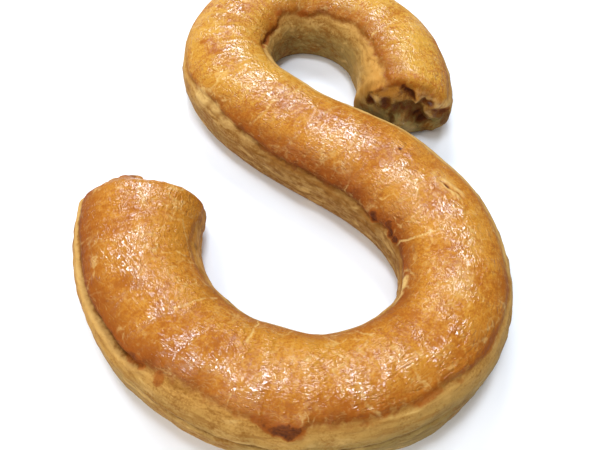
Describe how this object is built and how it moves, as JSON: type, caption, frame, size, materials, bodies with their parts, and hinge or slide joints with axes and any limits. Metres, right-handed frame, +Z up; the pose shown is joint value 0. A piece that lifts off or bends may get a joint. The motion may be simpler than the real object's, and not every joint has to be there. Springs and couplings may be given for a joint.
{
  "type": "almond pastry letter",
  "caption": "Baked letter S of puff pastry: a filled roll with a glazed golden-brown top, paler flanks and tucked ends, lying flat.",
  "frame": {"origin": "on the flat base, under the middle of the letter's box", "axes": "+X to the letter's right, +Y to the letter's top, +Z up from the baking sheet"},
  "size_m": [0.175, 0.251, 0.0326],
  "materials": {
    "crust": "egg-washed, baked golden brown, glossy on top, paler and dull on the flanks"
  },
  "bodies": {
    "root": {"pastry_roll": "crust"}
  },
  "joints": []
}
